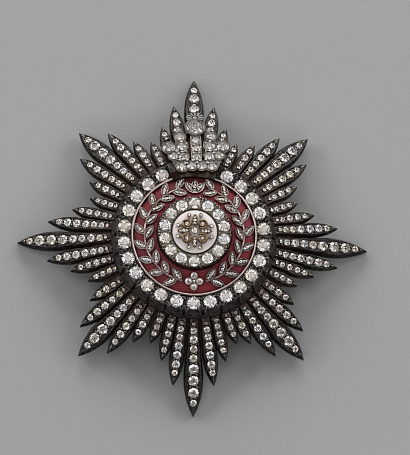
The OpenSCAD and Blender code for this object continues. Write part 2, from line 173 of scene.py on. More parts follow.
def makeMetal(name, dark, light, tarnishAndShading, wornAndHighlight=(0.6, 0.58, 0.55), wearAndHighlight=0, edge=0.05, reach=0.4, cloud=900,
              grain=5200, gloss=0.2, bump=0.2, metallic=1, specular=0.5, glintSpeck=None, foot=None, footLight=None,
              footFrom=0, footTo=0, mottle=0):
    # the optional foot colours come in towards the star's axis, between two radii
    made, tree, shader = startMaterial(name, Metallic=metallic, Specular_IOR_Level=specular)
    skin, mask = (addNode(tree, "Group", inputs, node_tree=group).outputs for group, inputs in (
        (skinGroup, {"Cloud Scale": cloud, "Grain Scale": grain, "Gloss": gloss}),
        (edgeHollowGroup, {"Radius": edge * mm, "Strength": wearAndHighlight, "Reach": reach * mm})))
    colour = blendColours(tree, skin["Cloud"], dark, light)
    if foot:
        place = addNode(tree, "SeparateXYZ", {0: objectCoords(tree)}).outputs
        flat = addNode(tree, "CombineXYZ", {0: place[0], 1: place[1]}).outputs[0]
        away = addNode(tree, "VectorMath", {0: flat}, operation="LENGTH").outputs["Value"]
        near = mapped(tree, away, footTo * mm, footFrom * mm)
        mottled = mapped(tree, noise(tree, mottle, detail=2), *skinLook["mottle"])
        colour = blendColours(tree, near, colour, blendColours(tree, mottled, foot, footLight))
    # along edges the colour turns pale: rubbed silver and a painted highlight
    colour = blendColours(tree, mask["Edge"], colour, wornAndHighlight)
    # pale specks on the fine grain: painted glints
    if glintSpeck:
        colour = blendColours(tree, skin["GlintSpeck"], colour, glintSpeck)
    # in hollows the colour turns to the hollow colour: tarnish of the silver, and painted shade where shade falls
    colour = blendColours(tree, mask["Hollow"], colour, tarnishAndShading)
    height = {"Strength": bump, "Distance": skinLook["depth"] * mm, "Height": skin["Height"]}
    tree.links.new(colour, shader.inputs["Base Color"])
    tree.links.new(skin["Roughness"], shader.inputs["Roughness"])
    tree.links.new(addNode(tree, "Bump", height).outputs[0], shader.inputs["Normal"])
    return made


# on the rays the hollow colour is a lighter brown than the metal: tarnish, and painted light that lifts their
# dark gaps
rayMetal = makeMetal(
    "oxidisedSilver", metallic=0.5, specular=0.2, grain=2600, gloss=0.34, edge=0.12, wearAndHighlight=3, reach=0.9, bump=1,
    dark=(0.007, 0.0068, 0.0064), light=(0.024, 0.023, 0.021), wornAndHighlight=(0.16, 0.15, 0.14), tarnishAndShading=(0.05, 0.027, 0.02),
    glintSpeck=(0.135, 0.127, 0.118),
    foot=(0.012, 0.008, 0.007), footLight=(0.085, 0.044, 0.034), footFrom=24, footTo=30, mottle=1500)
galleryMetal = makeMetal(
    "gallerySilver", metallic=0.6, specular=0.25, grain=2600, gloss=0.22, edge=0.12, wearAndHighlight=3, reach=1, bump=1,
    dark=(0.008, 0.006, 0.005), light=(0.095, 0.08, 0.071), wornAndHighlight=(0.42, 0.39, 0.36), tarnishAndShading=(0.005, 0.003, 0.0025),
    glintSpeck=(0.17, 0.155, 0.145),
    foot=(0.004, 0.0035, 0.003), footLight=(0.04, 0.034, 0.03), footFrom=19.3, footTo=19.8, mottle=1700)
# blackened metal for the gallery's solder seam and for dark wires that stand in for shadow
darkSeamAndShade = makeMetal(
    "seamSolderAndShade", metallic=0.6, cloud=1200, grain=3200, gloss=0.45, edge=0.08, wearAndHighlight=0.5, reach=0.6, bump=0.8,
    dark=(0.004, 0.003, 0.003), light=(0.014, 0.01, 0.008), wornAndHighlight=(0.05, 0.04, 0.035), tarnishAndShading=(0.003, 0.002, 0.002))
crownMetal = makeMetal(
    "wornSilver", cloud=700, grain=4200, gloss=0.28, edge=0.08, wearAndHighlight=2.4, reach=0.8, bump=0.6,
    dark=(0.052, 0.045, 0.04), light=(0.145, 0.13, 0.115), wornAndHighlight=(0.34, 0.31, 0.28), tarnishAndShading=(0.04, 0.023, 0.017),
    foot=(0.055, 0.026, 0.02), footLight=(0.14, 0.095, 0.08), footFrom=17.1, footTo=17.4, mottle=700)
heartMetal = makeMetal(
    "heartSilver", metallic=0.7, cloud=700, grain=4200, gloss=0.24, edge=0.08, wearAndHighlight=2.4, reach=0.8, bump=0.6,
    dark=(0.11, 0.095, 0.075), light=(0.24, 0.21, 0.17), wornAndHighlight=(0.62, 0.57, 0.5), tarnishAndShading=(0.045, 0.03, 0.018),
    foot=(0.02, 0.01, 0.008), footLight=(0.11, 0.075, 0.06), footFrom=9.1, footTo=8.5, mottle=1500)
roseMetal = makeMetal(
    "roseGold", metallic=0.8, cloud=160, grain=900, wearAndHighlight=0.1, reach=0.2, bump=0.02,
    dark=(0.1, 0.065, 0.06), light=(0.18, 0.125, 0.115), wornAndHighlight=(0.8, 0.68, 0.63), tarnishAndShading=(0.03, 0.012, 0.01))
# pale rose for the rosette's rims, and for the thin wire on the band's rim that is a painted highlight
paleRoseAndHighlight = makeMetal(
    "paleRose", metallic=0.45, cloud=500, grain=1800, gloss=0.28, wearAndHighlight=0.1, reach=0.2, bump=0.05,
    dark=(0.6, 0.48, 0.45), light=(0.77, 0.65, 0.62), wornAndHighlight=(0.8, 0.68, 0.63), tarnishAndShading=(0.25, 0.16, 0.13))
goldMetal = makeMetal(
    "antiqueGold", cloud=1400, grain=6000, gloss=0.26, edge=0.06, wearAndHighlight=2, reach=0.5, bump=0.5,
    dark=(0.11, 0.072, 0.042), light=(0.3, 0.21, 0.13), wornAndHighlight=(0.66, 0.53, 0.38), tarnishAndShading=(0.018, 0.009, 0.005))
backMetal = makeMetal(
    "pinSilver", cloud=300, grain=3000, gloss=0.3, edge=0.1, wearAndHighlight=1.6, reach=1, bump=0.4,
    dark=(0.26, 0.25, 0.24), light=(0.42, 0.4, 0.38), wornAndHighlight=(0.7, 0.68, 0.65), tarnishAndShading=(0.06, 0.05, 0.045))
wreathMetal = makeMetal(
    "wreathGold", wearAndHighlight=1.6, reach=0.5,
    dark=(0.4, 0.3, 0.27), light=(0.66, 0.54, 0.5), wornAndHighlight=(0.9, 0.79, 0.74), tarnishAndShading=(0.02, 0.009, 0.007))
threadMetal = makeMetal(
    "threadSilver", reach=0.5, dark=(0.05, 0.045, 0.042), light=(0.13, 0.12, 0.11), tarnishAndShading=(0.012, 0.007, 0.006))
beadMetal = makeMetal(
    "beadSilver", dark=(0.16, 0.145, 0.135), light=(0.42, 0.39, 0.37), tarnishAndShading=(0.02, 0.015, 0.012))
clawMetal = makeMetal(
    "clawSilver", dark=(0.11, 0.1, 0.093), light=(0.31, 0.29, 0.27), tarnishAndShading=(0.015, 0.01, 0.008))
heartClaw = makeMetal(
    "heartClawSilver", dark=(0.18, 0.15, 0.125), light=(0.36, 0.31, 0.26), tarnishAndShading=(0.03, 0.018, 0.012))
crownThread = makeMetal(
    "crownThread", reach=0.3, dark=(0.12, 0.105, 0.09), light=(0.26, 0.235, 0.205), tarnishAndShading=(0.05, 0.03, 0.02))
fanMetal = makeMetal(
    "fanSilver", metallic=0.35, cloud=300, grain=2600, gloss=0.4, reach=0.2, bump=0.1,
    dark=(0.55, 0.53, 0.5), light=(0.8, 0.78, 0.75), tarnishAndShading=(0.1, 0.08, 0.07))
foilMetal = makeMetal(
    "foil", cloud=300, grain=2600, gloss=0.14, reach=0.01, bump=0.3,
    dark=(0.7, 0.67, 0.62), light=(0.95, 0.94, 0.92), tarnishAndShading=(0.92, 0.91, 0.89))
dullFoil = makeMetal(
    "dullFoil", cloud=420, grain=2600, gloss=0.26, reach=0.01, bump=0.5,
    dark=(0.52, 0.48, 0.45), light=(0.86, 0.83, 0.8), tarnishAndShading=(0.6, 0.57, 0.55))

# hollow, shade and reach set where the enamel's painted shade lies and how dark it gets
enamelLook = dict(line=(-0.2, 0.9), cloud=(0.35, 0.68), hollow=(0.3, 0.9), shade=0.8, reach=1.4, depth=0.03)


def makeEnamel(name, dark, light, deep, cloud, line=(1, 1, 1), lines=0, waves=0, sway=0, pitch=1, bump=0):
    # glossy enamel over engraved rings whose lines wave as they run round, turning to a deep colour beside raised
    # work as painted shade
    made, tree, shader = startMaterial(
        name, Roughness=0.42, Coat_Weight=0.15, Coat_Roughness=0.2, Coat_IOR=1.4, IOR=1.5,
        Specular_IOR_Level=0.25)
    place = addNode(tree, "SeparateXYZ", {0: objectCoords(tree)})
    x, y = place.outputs[0], place.outputs[1]
    angle = calc(tree, "ARCTAN2", y, x)
    radius = calc(tree, "SQRT", calc(tree, "ADD", calc(tree, "MULTIPLY", x, x), calc(tree, "MULTIPLY", y, y)))
    swing = calc(tree, "SINE", calc(tree, "MULTIPLY", angle, waves))
    wave = calc(tree, "MULTIPLY", swing, sway * mm)
    turns = calc(tree, "MULTIPLY", calc(tree, "ADD", radius, wave), 2 * math.pi / (pitch * mm))
    ring = mapped(tree, calc(tree, "SINE", turns), *enamelLook["line"])
    tone = mapped(tree, noise(tree, cloud), *enamelLook["cloud"])
    colour = blendColours(tree, tone, dark, light)
    colour = blendColours(tree, calc(tree, "MULTIPLY", ring, lines), colour, line)
    # the deep colour beside raised work and in hollows is painted shade
    openness = addNode(tree, "AmbientOcclusion", {"Distance": enamelLook["reach"] * mm}, samples=6).outputs["AO"]
    hollow = mapped(tree, openness, *enamelLook["hollow"], enamelLook["shade"], 0)
    tree.links.new(blendColours(tree, hollow, colour, deep), shader.inputs["Base Color"])
    height = {"Strength": bump, "Distance": enamelLook["depth"] * mm, "Height": ring}
    tree.links.new(addNode(tree, "Bump", height).outputs[0], shader.inputs["Normal"])
    return made


redEnamel = makeEnamel(
    "crimsonEnamel", waves=24, sway=0.16, pitch=0.55, lines=0.8, cloud=260, bump=0.5,
    dark=(0.095, 0.009, 0.013), light=(0.215, 0.02, 0.028), line=(0.33, 0.045, 0.055), deep=(0.02, 0.002, 0.003))
whiteEnamel = makeEnamel(
    "whiteEnamel", cloud=300, dark=(0.66, 0.59, 0.57), light=(0.77, 0.71, 0.69), deep=(0.3, 0.2, 0.16))

# Scale of the noise that lays on each tint, and the noise values between which it fades in
stoneTint = dict(yellow=(210, 0.45, 0.63), pink=(330, 0.51, 0.64))


def makeStone(name, rough, clear, ior=2.42, **tints):
    made, tree, shader = startMaterial(name, Transmission_Weight=1, Roughness=rough, IOR=ior, Metallic=0)
    colour = clear
    for tint, (scale, low, high) in stoneTint.items():
        colour = blendColours(tree, mapped(tree, noise(tree, scale, detail=1), low, high), colour, tints[tint])
    tree.links.new(colour, shader.inputs["Base Color"])
    return made


stoneGlass = makeStone(
    "oldCutStone", rough=0.12, clear=(0.875, 0.85, 0.82), yellow=(0.85, 0.75, 0.585), pink=(0.84, 0.69, 0.63))
rayGlass = makeStone(
    "rayCutStone", rough=0.17, clear=(0.9, 0.87, 0.835), yellow=(0.87, 0.77, 0.6), pink=(0.86, 0.71, 0.65))
largeGlass = makeStone(
    "largeCutStone", rough=0.02, clear=(0.95, 0.94, 0.93), yellow=(0.92, 0.91, 0.88), pink=(0.93, 0.91, 0.89))
crownGlass = makeStone(
    "dullCutStone", rough=0.25, clear=(0.82, 0.79, 0.765), yellow=(0.79, 0.71, 0.6), pink=(0.78, 0.67, 0.62))
# darker, duller glass for the small stones on the star's south side: painted shade
shadedFootGlass = makeStone(
    "shadedFootStone", rough=0.22, clear=(0.7, 0.64, 0.61), yellow=(0.64, 0.53, 0.42), pink=(0.66, 0.48, 0.44), ior=1.9)


# Making pieces


def keepMesh(name, bm):
    mesh = bpy.data.meshes.new(name)
    bm.to_mesh(mesh)
    bm.free()
    return mesh


def placed(name, data):
    made = bpy.data.objects.new(name, data)
    bpy.context.scene.collection.objects.link(made)
    return made


def finishPiece(name, bm, material, replaces=(), smooth=False):
    # the bmesh is in millimetres and becomes a piece in metres that rides with the star
    bmesh.ops.transform(bm, matrix=Matrix.Scale(mm, 4), verts=bm.verts)
    bmesh.ops.recalc_face_normals(bm, faces=bm.faces)
    mesh = keepMesh(name, bm)
    mesh.polygons.foreach_set("use_smooth", [smooth] * len(mesh.polygons))
    mesh.materials.append(material)
    piece = placed(name, mesh)
    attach(piece, "root")
    if replaces:
        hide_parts(*replaces)
    return piece


def addCopy(bm, mesh, matrix):
    # puts a copy of a finished form into the bmesh, where the matrix says
    before = len(bm.verts)
    bm.from_mesh(mesh)
    bm.verts.ensure_lookup_table()
    bmesh.ops.transform(bm, matrix=matrix, verts=bm.verts[before:])


def shownMesh(holder):
    # the mesh that a curve object shows, as a bmesh; the object goes
    bpy.context.view_layer.update()
    mesh = bpy.data.meshes.new_from_object(holder.evaluated_get(bpy.context.evaluated_depsgraph_get()))
    bm = bmesh.new()
    bm.from_mesh(mesh)
    bpy.data.objects.remove(holder)
    bpy.data.meshes.remove(mesh)
    return bm


def wirePiece(name, paths, sides, material, replaces=()):
    # round wires along paths of (point, radius), each open or closed
    curve = bpy.data.curves.new(name, "CURVE")
    curve.dimensions = "3D"
    curve.bevel_depth = 1.0
    curve.bevel_resolution = sides
    curve.use_fill_caps = True
    curve.resolution_u = 1
    for points, closed in paths:
        spline = curve.splines.new("POLY")
        spline.points.add(len(points) - 1)
        for place, (co, radius) in zip(spline.points, points):
            place.co = (*co, 1.0)
            place.radius = radius
        spline.use_cyclic_u = closed
    bm = shownMesh(placed(name, curve))
    bpy.data.curves.remove(curve)
    finishPiece(name, bm, material, replaces, smooth=True)


def roundWire(name, material, radius, z, wire, sides=2, points=180):
    # a closed wire round the star's axis
    ring = [(polar(radius, 360 / points * k, z), wire) for k in range(points)]
    wirePiece(name, [(ring, True)], sides, material)


def mergedNode(name):
    # a copy of a CAD node's mesh, its loose triangles joined
    bm = bmesh.new()
    bm.from_mesh(nodes[name].data)
    bmesh.ops.remove_doubles(bm, verts=bm.verts, dist=1e-6)
    return bm


def metalTree(names):
    # the surface of some CAD nodes, in millimetres, to look up points on
    bm = bmesh.new()
    for name in names:
        bm.from_mesh(nodes[name].data)
    bmesh.ops.scale(bm, vec=(1 / mm, 1 / mm, 1 / mm), verts=bm.verts)
    tree = BVHTree.FromBMesh(bm)
    bm.free()
    return tree


# A round old-cut stone of diameter 1, girdle at z = 0, cut from a short cylinder plane by plane
cut = dict(girdle=0.02, table=0.26, crown=36.0, upper=38.8, star=23.0, pavilion=41.0, lower=41.7, culet=0.105,
           blank=1.4, tiltShare=0.3)
stoneTilt = 0.03  # how far off its axis a stone may sit


def cutStone(name, sides, slip, dice, flatBack=False, table=cut["table"]):
    bm = bmesh.new()
    bmesh.ops.create_cone(bm, cap_ends=True, segments=sides * 4, radius1=0.5, radius2=0.5, depth=cut["blank"])
    half = cut["girdle"] / 2

    def facet(azimuth, angle, radius, height, up):
        azimuth = math.radians(azimuth + dice.uniform(-slip, slip))
        angle = math.radians(angle + dice.uniform(-slip, slip) * cut["tiltShare"])
        across = Vector((math.cos(azimuth), math.sin(azimuth), 0))
        normal = across * math.sin(angle) + Vector((0, 0, up * math.cos(angle)))
        level(across * radius + Vector((0, 0, up * height)), normal)

    def level(point, normal):
        geom = bm.verts[:] + bm.edges[:] + bm.faces[:]
        done = bmesh.ops.bisect_plane(bm, geom=geom, dist=1e-5, plane_co=point, plane_no=normal, clear_outer=True)
        rim = [g for g in done["geom_cut"] if isinstance(g, bmesh.types.BMEdge)]
        bmesh.ops.holes_fill(bm, edges=rim, sides=0)

    step = 360 / sides
    tableZ = half + (0.5 - table) * math.tan(math.radians(cut["crown"]))
    level(zAxis * tableZ, zAxis)
    back = 0.0 if flatBack else (0.5 - cut["culet"]) * math.tan(math.radians(cut["pavilion"]))
    level(zAxis * (-half - back), -zAxis)
    for i in range(sides):
        facet(step * i, cut["crown"], 0.5, half, 1)
        facet(step * (i + 0.5), cut["star"], table * math.cos(math.radians(step / 2)), tableZ, 1)
        if not flatBack:
            facet(step * i, cut["pavilion"], 0.5, half, -1)
    for i in range(2 * sides):
        facet(step * (i + 0.5) / 2, cut["upper"], 0.5, half, 1)
        if not flatBack:
            facet(step * (i + 0.5) / 2, cut["lower"], 0.5, half, -1)
    return keepMesh(name, bm)


dice = random.Random(11)
stoneForms = [cutStone("roundStone", sides=8, slip=1.4, dice=dice) for _ in range(4)]
smallForms = [cutStone("smallStone", sides=6, slip=1.5, dice=dice) for _ in range(2)]
flatForms = [cutStone("flatStone", sides=6, slip=1.5, dice=dice, flatBack=True) for _ in range(2)]
largeForms = [cutStone("largeStone", sides=9, slip=3.5, dice=random.Random(5), table=0.17)]
print("stones cut:", [len(m.polygons) for m in stoneForms + smallForms], "faces")


def stonesIn(name):
    # girdle centre, axis and diameter of each loose stone of a CAD node
    bm = mergedNode(name)
    places, seen = [], set()
    for first in bm.verts:
        if first in seen:
            continue
        group, queue = [], [first]
        seen.add(first)
        while queue:
            vert = queue.pop()
            group.append(vert.co / mm)
            near = [edge.other_vert(vert) for edge in vert.link_edges]
            near = [other for other in near if other not in seen]
            seen.update(near)
            queue += near
        alone = [min((p - q).length for q in group if q is not p) for p in group]
        culet = group.pop(alone.index(max(alone)))
        axis = (sum(group, Vector()) / len(group) - culet).normalized()
        away = [(p - culet - axis * (p - culet).dot(axis)).length for p in group]
        girdle = [p for p, r in zip(group, away) if r > 0.9 * max(away)]
        places.append((sum(girdle, Vector()) / len(girdle), axis, 2 * max(away)))
    bm.free()
    return places


def stoneMatrix(centre, axis, size=1, turn=0):
    swing = axis.to_track_quat("Z", "Y").to_matrix().to_4x4()
    return Matrix.Translation(centre) @ swing @ turned("Z", turn) @ Matrix.Scale(size, 4)


def setStones(name, places, forms, replaces=(), glass=stoneGlass):
    bm = bmesh.new()
    for centre, axis, size in places:
        tilt = Vector((dice.uniform(-1, 1), dice.uniform(-1, 1), 0)) * stoneTilt
        form, turn = dice.choice(forms), dice.uniform(0, 360)
        addCopy(bm, form, stoneMatrix(centre, (axis + tilt).normalized(), size, turn))
    return finishPiece(name, bm, glass, replaces)


# The ray stones, crown stones and rosette stones are cut anew where the solids have them
crownStones = dict(proud=0.10, larger=1.10)
stonePlaces = {name: stonesIn(name) for name in nodes if "stone" in name}
for name in ("ray_stones_cardinal", "ray_stones_diagonal", "rosette_stones"):
    setStones("cut_" + name, stonePlaces[name], stoneForms, [name], rayGlass)
setStones("cut_crown_top_stone", stonePlaces["crown_top_stone"], largeForms, ["crown_top_stone"], largeGlass)
proud = [(centre + axis * crownStones["proud"], axis, size * crownStones["larger"])
         for centre, axis, size in stonePlaces["crown_stones"]]
setStones("cut_crown_stones", proud, stoneForms, ["crown_stones"], crownGlass)
rayStones = stonePlaces["ray_stones_cardinal"] + stonePlaces["ray_stones_diagonal"]
print("stones:", sum(len(places) for places in stonePlaces.values()))

# Foil that lines the closed seat behind each stone, halfway between stone and metal
foil = dict(gap=0.03, depth=0.34, sides=20, eye=0.12, crownEye=0.06, below=0.02)


def makeFoils(name, places, material=foilMetal, flat=False, eye=foil["eye"]):
    bm = bmesh.new()
    for centre, axis, size in places:
        if flat:
            place = stoneMatrix(centre, axis) @ moved(0, 0, -foil["below"] * size - foil["gap"])
            bmesh.ops.create_circle(bm, cap_ends=True, segments=foil["sides"], radius=size / 2, matrix=place)
            continue
        deep = foil["depth"] * size + 2 * foil["gap"]
        turn = dice.uniform(0, 360 / foil["sides"])
        place = stoneMatrix(centre, axis, turn=turn) @ moved(0, 0, -deep / 2)
        bmesh.ops.create_cone(bm, segments=foil["sides"], radius1=eye * size, radius2=size / 2 + foil["gap"],
                              depth=deep, matrix=place)
    return finishPiece(name, bm, material)


seated = [p for name, places in stonePlaces.items() if not name.startswith("crown") for p in places]
makeFoils("stone_foils", seated)
makeFoils("crown_foils", stonePlaces["crown_stones"], dullFoil, eye=foil["crownEye"])
makeFoils("crown_top_foil", stonePlaces["crown_top_stone"], eye=foil["crownEye"])

# Small work on the rays: edge threads, beads between the stones, ridges, tiny stones at foot and tip
rayThread = dict(wire=0.055, edges=(0.3, 0.55))  # edges: the cosine between the faces beside one
rayRow = dict(gap=0.7, line=0.97)  # stones of a row are no farther apart, and no more out of line
rayBeads = dict(size=0.42, out=0.60, up=0.08, base=0.7, grow=0.14, vary=(0.85, 1.15))
rayRidge = dict(wide=0.11, up=0.02, step=0.1, steps=22, short=5, least=3, end=0.5)
tipStones = dict(size=0.42, gap=0.55, up=0.1, ridgeGap=0.4, reach=38, aside=30)  # only where rays reach so far
# small stones at the rays' feet; south of the last entry's y they get the darker glass as painted shade
footStones = dict(size=1.0, gap=0.28, up=0.24, vary=(0.85, 1.05), inside=21.3, shadedBelow=-8)
speckles = dict(count=12, size=(0.2, 0.4), along=(-0.9, 1.3), aside=(0.55, 0.95), inside=21.2)
collet = dict(wire=0.07, gap=0.04, sides=12)


def rowsOf(places):
    # sorts ray stones into rays, outermost first: stones of one ray lie in line and close together
    rows = []
    for place in sorted(places, key=lambda p: -p[0].to_2d().length):
        for row in rows:
            step = place[0] - row[-1][0]
            near = step.length < (place[2] + row[-1][2]) / 2 + rayRow["gap"]
            inward = -step.to_2d().normalized()
            if near and inward.dot(row[-1][0].to_2d().normalized()) > rayRow["line"]:
                row.append(place)
                break
        else:
            rows.append([place])
    return rows


def edgeLines(names, low, high):
    # the sharp lines round the rays' flat tops, where the flank falls away, as an edge mesh
    lines = bmesh.new()
    for name in names:
        bm = mergedNode(name)
        for edge in bm.edges:
            if len(edge.link_faces) == 2 and edge.is_convex:
                first, second = (face.normal for face in edge.link_faces)
                flat = max(first.z, second.z)
                if abs(flat - math.cos(slope)) < 1e-3 and low < first.dot(second) < high:
                    lines.edges.new([lines.verts.new(v.co) for v in edge.verts])
        bm.free()
    bmesh.ops.remove_doubles(lines, verts=lines.verts, dist=1e-6)
    return lines


def threadPiece(name, lines, radius, material):
    holder = placed(name, keepMesh(name, lines))
    for other in bpy.context.selected_objects:
        other.select_set(False)
    bpy.context.view_layer.objects.active = holder
    holder.select_set(True)
    bpy.ops.object.convert(target="CURVE")
    holder.data.bevel_depth = radius * mm
    holder.data.bevel_resolution = 1
    bm = shownMesh(holder)
    bmesh.ops.transform(bm, matrix=Matrix.Scale(1 / mm, 4), verts=bm.verts)
    return finishPiece(name, bm, material, smooth=True)


def beadMesh(subdivisions):
    bm = bmesh.new()
    bmesh.ops.create_icosphere(bm, subdivisions=subdivisions, radius=0.5)
    return keepMesh("bead", bm)


def addBead(bm, form, at, size):
    addCopy(bm, form, Matrix.Translation(at) @ Matrix.Scale(size, 4))


def beadsBetween(beads, row, size, out, up, base, grow, vary):
    # a pair of beads wherever two stones of a ray meet
    for near, far in zip(row[1:], row):
        along = (far[0] - near[0]).normalized()
        side = near[1].cross(along).normalized()
        gap = (far[0] - near[0]).length - (near[2] + far[2]) / 2
        touch = near[0] + along * (near[2] + gap) / 2
        less = min(near[2], far[2])
        for s in (-1, 1):
            at = touch + side * s * less / 2 * out + near[1] * up
            addBead(beads, largeBead, at, size * (base + grow * less) * dice.uniform(*vary))


def tipRidge(tree, start, outward, axis, wide, up, step, steps, short, least, end):
    # a fine ridge on the metal that runs out to just short of the ray's point
    tries = [start + outward * step * k for k in range(steps)]
    ground = [hit for hit in (tree.ray_cast(p + axis, -axis, 1.6)[0] for p in tries) if hit]
    count = len(ground) - short
    if count < least:
        return None
    first, last = (ground[k] + axis * up for k in (0, count))
    return [(first, wide), ((first + last) / 2, wide), (last, wide * end)]


def addSpecks(beads, place, outward, axis, count, size, along, aside, inside):
    side = axis.cross(outward).normalized()
    for _ in range(count):
        at = place - outward * dice.uniform(*along) + side * dice.choice((-1, 1)) * dice.uniform(*aside)
        if at.to_2d().length > inside:
            addBead(beads, smallBead, at + axis * (star["sink"] + rayBeads["up"]), dice.uniform(*size))


def colletRing(centre, axis, size, wire, gap, sides):
    reach = Vector((size / 2 + gap, 0, 0))
    turns = [turned("Z", 360 / sides * k) for k in range(sides)]
    return [(stoneMatrix(centre, axis) @ (turn @ reach), wire) for turn in turns], True


def makeRayWork(rows):
    beads, small, ridges = bmesh.new(), [], []
    tree = metalTree(rayNames)
    for row in rows:
        beadsBetween(beads, row, **rayBeads)
        (tip, tipAxis, tipSize), (foot, footAxis, footSize) = row[0], row[-1]
        outward = tipAxis.to_2d().normalized().to_3d() * math.cos(slope) - zAxis * math.sin(slope)
        lift = tipAxis * star["sink"]
        if tip.to_2d().length > tipStones["reach"] and abs(tip.x) > tipStones["aside"]:
            spot = tip + outward * (tipSize / 2 + tipStones["gap"]) + lift + tipAxis * tipStones["up"]
            small.append((spot, tipAxis, tipStones["size"]))
        start = tip + outward * (tipSize / 2 + tipStones["ridgeGap"]) + lift
        ridge = tipRidge(tree, start, outward, tipAxis, **rayRidge)
        if ridge:
            ridges.append((ridge, False))
        place = foot - outward * ((footSize + footStones["size"]) / 2 + footStones["gap"])
        if place.to_2d().length > footStones["inside"]:
            size = footStones["size"] * dice.uniform(*footStones["vary"])
            small.append((place + footAxis * footStones["up"], footAxis, size))
        addSpecks(beads, place, outward, footAxis, **speckles)
    # small stones on the south side get the darker glass as painted shade, the others the clear glass
    litSmall = [p for p in small if p[0].y > footStones["shadedBelow"]]
    shadedSmall = [p for p in small if p[0].y <= footStones["shadedBelow"]]
    finishPiece("ray_beads", beads, beadMetal, smooth=True)
    wirePiece("ray_ridges", ridges, 1, clawMetal)
    setStones("ray_small_stones", litSmall, flatForms)
    setStones("ray_shaded_stones", shadedSmall, flatForms, glass=shadedFootGlass)
    makeFoils("ray_small_foils", small, flat=True)
    wirePiece("ray_small_collets", [colletRing(*p, **collet) for p in small], 1, threadMetal)
    print("ray beads,", len(ridges), "ridges and", len(small), "small stones set")


rayNames = [name for name in nodes if name.startswith("rays_")]
rayEdges = edgeLines(rayNames, *rayThread["edges"])
threadPiece("ray_threads", rayEdges, rayThread["wire"], threadMetal)
smallBead, largeBead = beadMesh(1), beadMesh(2)
makeRayWork(rowsOf(rayStones))

# The two galleries. Each claw is radius, degrees to one side, height and thickness of its points, foot first
gallery = dict(
    places=26, hidden=(12, 13, 14),
    claw=((20.74, 6.2, 9.4, 0.08), (20.38, 5.6, 10.5, 0.13), (20.02, 4.9, 11.5, 0.15), (19.62, 4.3, 12.28, 0.17),
          (19.3, 3.8, 12.46, 0.19), (19.0, 3.5, 12.4, 0.14)),
    tooth=((16.42, 5.6, 12.12, 0.12), (16.6, 5.2, 12.34, 0.15), (16.85, 4.6, 12.36, 0.12)),
    beads=((16.95, 0.42), (18.9, 0.36)), beadZ=12.22)  # radius and diameter of each
heart = dict(
    places=14,
    claw=((9.58, 11.2, 14.45, 0.09), (9.42, 9.8, 15.1, 0.11), (9.28, 8.9, 15.54, 0.13), (8.98, 7.5, 15.68, 0.15),
          (8.74, 6.7, 15.62, 0.11)),
    tooth=((6.04, 12.0, 15.42, 0.09), (6.35, 10.8, 15.63, 0.12), (6.74, 9.2, 15.62, 0.11)),
    beads=((9.02, 0.52), (6.5, 0.36), (8.5, 0.34)), beadZ=15.52)


def makeClaws(name, centres, look, material):
    paths = []
    for centre in centres:
        for shape in (look["claw"], look["tooth"]):
            for side in (-1, 1):
                paths.append(([(polar(r, centre + side * a, z), w) for r, a, z, w in shape], False))
    wirePiece(name, paths, 2, material)


def makeBeads(name, centres, turn, look, material):
    bm = bmesh.new()
    for centre in centres:
        for radius, size in look["beads"]:
            addBead(bm, largeBead, polar(radius, centre + turn, look["beadZ"]), size)
    finishPiece(name, bm, material, smooth=True)


galleryStep, heartStep = 360 / gallery["places"], 360 / heart["places"]
outerPlaces = [-90 + galleryStep * i for i in range(gallery["places"]) if i not in gallery["hidden"]]
innerPlaces = [90 + heartStep * i for i in range(heart["places"])]
makeClaws("outer_claws", outerPlaces, gallery, clawMetal)
makeClaws("inner_claws", innerPlaces, heart, heartClaw)
makeBeads("outer_beads", outerPlaces, -galleryStep / 2, gallery, clawMetal)
makeBeads("inner_beads", innerPlaces, heartStep / 2, heart, heartClaw)
# a blackened solder seam at the foot of the gallery wall, dark enough to stand in for the shadow in the gap:
# partly painted shadow
roundWire("gallery_seam_and_shadow", darkSeamAndShade, radius=20.96, z=8.75, wire=0.17)
print("claws and beads of the galleries set")

# The rim wire in dark rose gold, and along its top a thin pale wire that is a painted highlight
roundWire("rim_wire", roseMetal, radius=15.875, z=12.44, wire=0.355, sides=6)
roundWire("rim_highlight_line", paleRoseAndHighlight, radius=15.825, z=12.66, wire=0.155, sides=4)

# The wreath and the rosette on the band
band = dict(outerR=15.45, innerR=9.75, z=12.1, rise=1.5, lift=0.06)
bandSlope = math.degrees(math.atan(band["rise"] / (band["outerR"] - band["innerR"])))
wreath = dict(
    radius=12.65, start=17.0, sweep=156.0, pairs=9, slip=0.15, lean=40.0,
    leaf=dict(length=3.9, half=0.92, thick=0.55, rim=0.16, floor=0.12), proud=0.02,
    stem=0.22, stemStep=3, palmR=10.7, palmLeans=(-38, 0, 38),
    stones=((0.95, 0.6), (1.68, 0.76), (2.42, 0.7), (3.05, 0.46)))  # place along the leaf, and diameter
rosette = dict(
    radius=12.4, reach=1.45, stoneD=1.3, stones=4, height=0.8, wall=0.15, lower=0.1, plateR=1.5, plateT=0.3,
    rim=0.11, rimIn=0.06, rimLow=0.02, rimPoints=20, middleD=0.6)


def onBand(degrees, radius):
    z = band["z"] + (band["outerR"] - radius) * math.tan(math.radians(bandSlope)) + band["lift"]
    return turned("Z", degrees) @ moved(radius, 0, z) @ turned("Y", bandSlope)


def upOf(place):
    return (place.to_3x3() @ zAxis).normalized()


